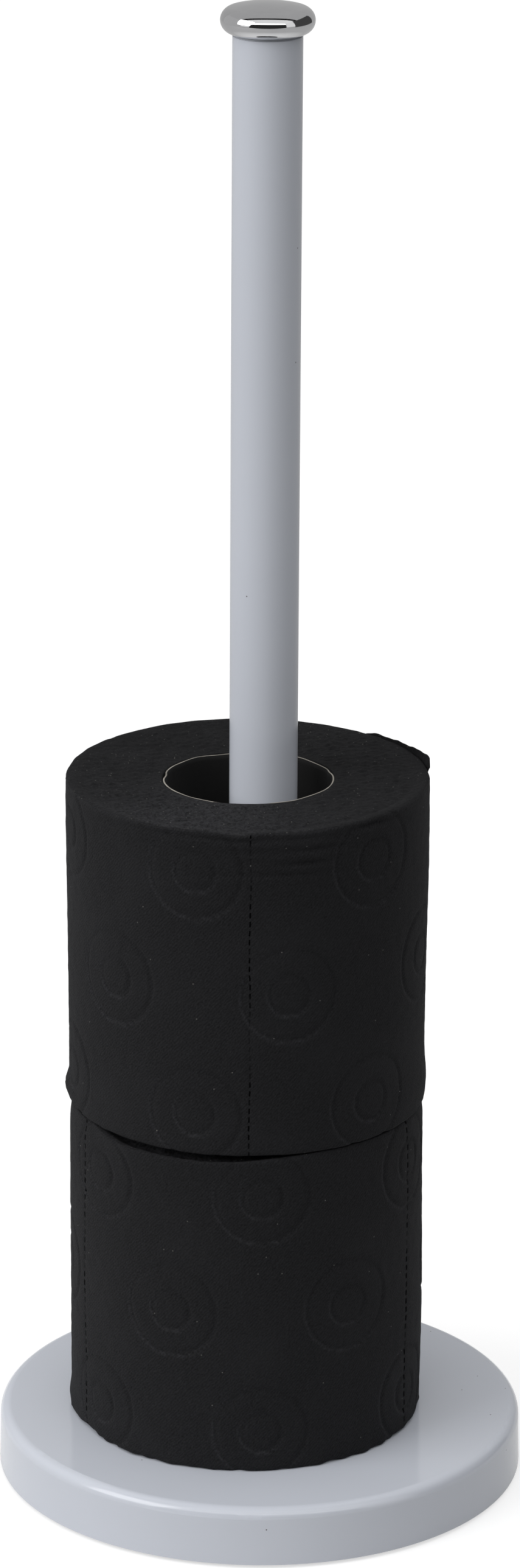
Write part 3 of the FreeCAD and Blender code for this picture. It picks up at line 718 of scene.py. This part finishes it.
def lower_roll_form(roll):
    """The lower roll is pressed by the upper one: its front rim sags, so a dark gap opens there."""
    front = turn_gap(roll.angle, FRONT)
    sag = fade_in(front, SAG_LEFT, SAG_LEFT_SOFT) * np.clip((SAG_RIGHT - front) / SAG_RIGHT_SOFT, 0, 1)
    sag = sag * sag * (3 - 2 * sag)
    lift = -RIM_SAG * sag * fade_in(roll.reach, 0.62 * roll.radius, 0.3 * roll.radius)
    lift *= fade_in(roll.z, 0.7 * roll.tall, 0.3 * roll.tall)
    behind = hump(roll.reach, roll.radius - 4.5 * MM, 2.6 * MM)
    lift -= np.where(roll.upper_end, BEHIND_RIM * sag * behind, 0)
    swell = (0.9 * sag - 0.4) * MM * hump(roll.z, roll.tall, 4.5 * MM)
    swell += bulge(roll, 0.7, LEFT + 0.1, 0.25, 3, 3)
    return np.where(roll.wall, swell, 0), lift


CARD_AROUND = 180
CARD_CUTS = (24, 2, 2, 60)
CARD_THICK = 0.42 * MM
CARD_BELOW_TOP = 0.35 * MM   # the card ends this far below the middle of the dished top
CARD_RUMPLED = 4 * MM        # how far down its edge is rumpled
CARD_NICKS = ((1.0, LEFT - 0.1, 0.10), (0.8, 0.25, 0.08))    # depth, place and width round the core


def card_core(name, wall_finish, edge_finish):
    """A thin card tube, squeezed a little, with a pale cut edge and two nicks."""
    low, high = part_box(name + "_core")
    _, paper_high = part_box(name + "_paper")
    middle = (low + high) / 2
    outer = (high.x - low.x) / 2
    top = paper_high.z - DISH - CARD_BELOW_TOP
    piece = thick_ring(name + "_card", middle, outer - CARD_THICK, outer, low.z, top, CARD_CUTS,
                       CARD_AROUND)
    points = points_of(piece)
    x, y = points[:, 0] - middle.x, points[:, 1] - middle.y
    angle = np.arctan2(y, x)
    rumpled = hump(points[:, 2], top, CARD_RUMPLED)
    nick = sum(deep * hump(turn_gap(angle, place), 0, width) for deep, place, width in CARD_NICKS)
    reach = np.hypot(x, y) + rumpled * (uneven(points, 0.25, 12, 71) - 0.5 * MM * nick)
    points[:, 0] = middle.x + np.cos(angle) * reach * CORE_ACROSS
    points[:, 1] = middle.y + np.sin(angle) * reach * CORE_DEEP
    points[:, 2] -= rumpled * (0.15 * MM + uneven(points, 0.15, 6, 72))
    put_points(piece, points)
    piece.data.materials.append(wall_finish)
    piece.data.materials.append(edge_finish)
    level = [abs(face.normal.z) > 0.6 for face in piece.data.polygons]
    piece.data.polygons.foreach_set("material_index", [1 if flag else 0 for flag in level])
    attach(piece, name)
    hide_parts(name + "_core")


FLAP_CUTS = (60, 14)     # along it and up it
FLAP_START = 0.15        # where it starts round the roll, from the right towards the back
FLAP_SPAN = 0.7
FLAP_BELOW_RIM = 2.6 * MM
FLAP_EVEN_TALL = 2.0 * MM
FLAP_TORN_TALL = 2.2 * MM
FLAP_THICK = 0.25 * MM


def torn_flap():
    """The torn corner of the upper roll's outer sheet, standing up at its right rear rim."""
    low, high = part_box("upper_roll_paper")
    core_low, core_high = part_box("upper_roll_core")
    middle = (core_low + core_high) / 2
    radius = (high.x - low.x) / 2
    piece = start_piece("torn_flap", bpy.ops.mesh.primitive_grid_add, x_subdivisions=FLAP_CUTS[0],
                        y_subdivisions=FLAP_CUTS[1], size=1.0, location=(0, 0, 0))
    bpy.ops.object.mode_set(mode="OBJECT")
    points = points_of(piece)
    along, up = points[:, 0] + 0.5, points[:, 1] + 0.5
    angle = FLAP_START + along * FLAP_SPAN
    # The torn edge is highest near the front end, uneven, and runs out at both ends
    torn = (0.3 + 0.68 * hump(along, 0.12, 0.42)
            + 0.05 * np.sin(along * 23) + 0.03 * np.sin(along * 51 + 1))
    runs_out = np.clip(along / 0.05, 0, 1) * np.clip((1 - along) / 0.08, 0, 1)
    lean = up ** 2 * MM * (0.8 * hump(along, 0.1, 0.16) + 0.15 * np.sin(along * 9 + 1))
    reach = radius + 0.05 * MM + lean
    points[:, 0] = middle.x + np.cos(angle) * reach
    points[:, 1] = middle.y + np.sin(angle) * reach
    points[:, 2] = (high.z - FLAP_BELOW_RIM + up * FLAP_EVEN_TALL
                    + up * torn * runs_out * FLAP_TORN_TALL)
    put_points(piece, points)
    select_only(piece)
    solid = piece.modifiers.new("thickness", "SOLIDIFY")
    solid.thickness = FLAP_THICK
    solid.offset = 0
    bpy.ops.object.modifier_apply(modifier=solid.name)
    bpy.ops.object.shade_smooth()
    piece.data.materials.append(tissue_ends("torn_tissue", middle))
    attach(piece, "upper_roll")


# ---- The stand's own finishes ----

def finish_nodes():
    """Gives the carried-over solids their finishes."""
    # Zinc plate: dull silver with a soft mottle
    zinc = plain_finish("zinc_plated_steel", ("#a9aaa8", "#bdbdb9"), roughness=0.35, grain_mm=1.5,
                        relief=0.15, metallic=1.0)
    # Nylon: pale grey, between matt and glossy
    nylon = plain_finish("moulded_nylon", ("#b4b7bd", "#bcbfc5"), roughness=0.5, grain_mm=0.8, relief=0.2)
    # Cast iron: dark, matt and sandy
    iron = plain_finish("cast_iron", ("#1f1f1f", "#2d2b29"), roughness=0.7, grain_mm=2.0, relief=0.6)
    # Polypropylene: black, waxy, with the fine grain of its mould
    cover = plain_finish("moulded_polypropylene", ("#1b1b1c", "#222223"), roughness=0.55, grain_mm=0.7,
                         relief=0.35)
    # Rubber: black and dull
    rubber = plain_finish("foot_rubber", ("#101010", "#191919"), roughness=0.85, grain_mm=0.5, relief=0.3)
    finishes = {
        "base_shell": gloss_enamel("base_enamel", roughness=0.13),
        "pole_tube": gloss_enamel("pole_enamel", roughness=0.22),
        "cap_knob": polished_chrome(),
        "cap_bush": nylon,
        "cap_stud": zinc,
        "pole_insert": zinc,
        "pole_bolt": zinc,
        "flat_washer": zinc,
        "spring_washer": zinc,
        "cover_screws": zinc,
        "ballast_disc": iron,
        "bottom_cover": cover,
        "foot_ring": rubber,
    }
    for node, material in finishes.items():
        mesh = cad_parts[node].data
        mesh.materials.clear()
        mesh.materials.append(material)


# ---- The studio ----

def light_card(name, place, aim, wide, tall, strength, lights=True):
    """A glowing or dark card of the studio, seen in reflections only, unless it lights as well."""
    bpy.ops.object.select_all(action="DESELECT")
    bpy.ops.mesh.primitive_plane_add(size=1.0)
    card = bpy.context.object
    card.name = name
    turn = (Vector(aim) - Vector(place)).to_track_quat("Z", "Y").to_matrix().to_4x4()
    size = Matrix.Diagonal((wide, tall, 1, 1))
    card.data.transform(Matrix.Translation(place) @ turn @ size)
    material, tree = bare_material(name)
    glow = add_node(tree, "ShaderNodeEmission", {"Color": WHITE, "Strength": strength})
    add_node(tree, "ShaderNodeOutputMaterial", {"Surface": glow.outputs[0]})
    card.data.materials.append(material)
    card.visible_camera = False
    card.visible_shadow = False
    card.visible_diffuse = lights


def softbox(name, place, aim, wide, tall, power):
    """A large soft lamp at a place, turned to what it lights."""
    lamp = bpy.data.lights.new(name, "AREA")
    lamp.shape = "RECTANGLE"
    lamp.size = wide
    lamp.size_y = tall
    lamp.energy = power
    holder = bpy.data.objects.new(name, lamp)
    bpy.context.scene.collection.objects.link(holder)
    holder.location = place
    holder.rotation_euler = (Vector(aim) - Vector(place)).to_track_quat("-Z", "Y").to_euler()


FLOOR_WIDE = 14.0
FLOOR_BELOW = 0.1 * MM   # so that it isn't in the same place as the foot ring's face
FLOOR_NEAR = "#bcbcbc"
FLOOR_FAR = "#606060"
FLOOR_IN_GLOSS = 0.45


def lay_floor():
    """A pale floor that is white to the camera and keeps the object's shadow."""
    bpy.ops.object.select_all(action="DESELECT")
    bpy.ops.mesh.primitive_plane_add(size=FLOOR_WIDE, location=(0, 0, -FLOOR_BELOW))
    floor = bpy.context.object
    floor.name = "floor"
    material, tree = bare_material("pale_floor")
    place = add_node(tree, "ShaderNodeTexCoord").outputs["Object"]
    away = add_node(tree, "ShaderNodeVectorMath", {0: place}, operation="LENGTH")
    far = add_node(tree, "ShaderNodeMapRange", {
        "Value": away.outputs["Value"], "From Min": 0.15, "From Max": 0.5})
    tint = add_node(tree, "ShaderNodeMix", {
        "Factor": far.outputs["Result"], "A": linear(FLOOR_NEAR), "B": linear(FLOOR_FAR)},
        data_type="RGBA")
    matt = add_node(tree, "ShaderNodeBsdfDiffuse", {"Color": tint.outputs["Result"]})
    white = add_node(tree, "ShaderNodeMapRange", {
        "Value": away.outputs["Value"], "From Min": 0.1, "From Max": 0.4, "To Min": 0.62, "To Max": 1.0})
    path = add_node(tree, "ShaderNodeLightPath")
    mirrored = add_node(tree, "ShaderNodeMath", {
        0: path.outputs["Is Glossy Ray"], 1: FLOOR_IN_GLOSS}, operation="MULTIPLY")
    lifted = add_node(tree, "ShaderNodeMath", {
        0: path.outputs["Is Camera Ray"], 1: white.outputs["Result"], 2: mirrored.outputs[0]},
        operation="MULTIPLY_ADD")
    glow = add_node(tree, "ShaderNodeEmission", {"Color": WHITE, "Strength": lifted.outputs[0]})
    both = add_node(tree, "ShaderNodeAddShader", {0: matt.outputs[0], 1: glow.outputs[0]})
    add_node(tree, "ShaderNodeOutputMaterial", {"Surface": both.outputs[0]})
    floor.data.materials.append(material)


SURROUND_LIGHT = 0.22


def white_surround():
    """A surround that is white to the camera and in reflections, and lights only faintly."""
    world = bpy.data.worlds.new("surround")
    bpy.context.scene.world = world
    world.use_nodes = True
    tree = world.node_tree
    tree.nodes.clear()
    path = add_node(tree, "ShaderNodeLightPath")
    seen = add_node(tree, "ShaderNodeMath", {
        0: path.outputs["Is Camera Ray"], 1: path.outputs["Is Glossy Ray"]}, operation="MAXIMUM")
    seen = add_node(tree, "ShaderNodeMath", {
        0: seen.outputs[0], 1: path.outputs["Is Transmission Ray"]}, operation="MAXIMUM")
    strength = add_node(tree, "ShaderNodeMapRange", {
        "Value": seen.outputs[0], "To Min": SURROUND_LIGHT, "To Max": 1.0})
    back = add_node(tree, "ShaderNodeBackground", {
        "Color": WHITE, "Strength": strength.outputs["Result"]})
    add_node(tree, "ShaderNodeOutputWorld", {"Surface": back.outputs[0]})


HEART = (0, 0, 0.2)      # the middle of the stand
TENT_WIDE = 5.2
SIDE_WIDE = 3.4
WALL_TALL = 2.4


def studio():
    """A pale floor and a white surround in a tent of cards, with a softbox front left.

    In the chrome the tent is grey behind and dark low in front, under a bright band.
    """
    lay_floor()
    white_surround()
    softbox("key", (-1.8, -1.0, 1.35), HEART, 1.5, 1.5, 27)
    light_card("back_wall", (0, 2.4, 1.1), (0, 0, 1.1), TENT_WIDE, WALL_TALL, 0.48)
    light_card("left_wall", (-2.6, 0.7, 1.1), (0, 0.7, 1.1), SIDE_WIDE, WALL_TALL, 0.55)
    light_card("right_wall", (2.6, 0.7, 1.1), (0, 0.7, 1.1), SIDE_WIDE, WALL_TALL, 0.07)
    light_card("front_low", (0, -2.6, 0.75), (0, 0, 0.75), TENT_WIDE, 1.7, 0.03)
    light_card("front_high", (0, -2.6, 1.95), (0, 0, 1.95), TENT_WIDE, 0.7, 2.5)
    light_card("ceiling", (0, -0.6, 2.3), (0, -0.6, 0), TENT_WIDE, 4.0, 1.05)
    light_card("ceiling_beam", (0, 1.9, 2.3), (0, 1.9, 0), TENT_WIDE, 1.0, 0.03)
    light_card("overhead_grey", (0, 1.1, 2.2), (0, 1.1, 0), TENT_WIDE, 2.6, 0.5, lights=False)
    light_card("overhead_line", (0, -0.44, 2.2), (0, -0.44, 0), TENT_WIDE, 0.48, 0.02, lights=False)


def stand_camera():
    """Stands the camera where the photograph was taken from."""
    data = bpy.data.cameras.new("photograph")
    data.sensor_width = SENSOR
    data.lens = FOCAL_PIXELS / FRAME_TALL * SENSOR
    data.clip_start = CAMERA_NEAREST
    camera = bpy.data.objects.new("photograph", data)
    bpy.context.scene.collection.objects.link(camera)
    forward = Vector((math.sin(CAMERA_YAW) * math.cos(CAMERA_PITCH),
                      math.cos(CAMERA_YAW) * math.cos(CAMERA_PITCH), -math.sin(CAMERA_PITCH)))
    level = forward.cross(Vector((0, 0, 1))).normalized()
    upward = level.cross(forward)
    right = math.cos(CAMERA_ROLL) * level + math.sin(CAMERA_ROLL) * upward
    up = -math.sin(CAMERA_ROLL) * level + math.cos(CAMERA_ROLL) * upward
    turn = Matrix((right, up, -forward)).transposed().to_4x4()
    camera.matrix_world = Matrix.Translation(CAMERA_PLACE) @ turn
    bpy.context.scene.camera = camera


# ---- The whole ----

bpy.context.scene.view_settings.view_transform = "Standard"
finish_nodes()
paper_roll("lower_roll", lower_roll_form, seed=11, emboss_shift=31 * MM,
           perforations=(-135.2 * MM, -21.9 * MM, 91.5 * MM), cut_width=0.45 * MM, fray_depth=0.6 * MM)
paper_roll("upper_roll", upper_roll_form, seed=23, emboss_shift=12 * MM,
           perforations=(-78.3 * MM, 35.1 * MM, 148.5 * MM), cut_width=0.22 * MM, fray_depth=0.12 * MM)
# Card: near black and dull inside the roll, and a pale fibrous line where it is cut
dark_card = plain_finish("dark_card", ("#050505", "#0a0908"), roughness=0.9, grain_mm=1.2, relief=0.4)
cut_card = plain_finish("cut_card", ("#2f2d29", "#c4beb3"), roughness=0.9, grain_mm=4.0, relief=0.4)
for roll_name in ("lower_roll", "upper_roll"):
    card_core(roll_name, dark_card, cut_card)
torn_flap()
studio()
stand_camera()
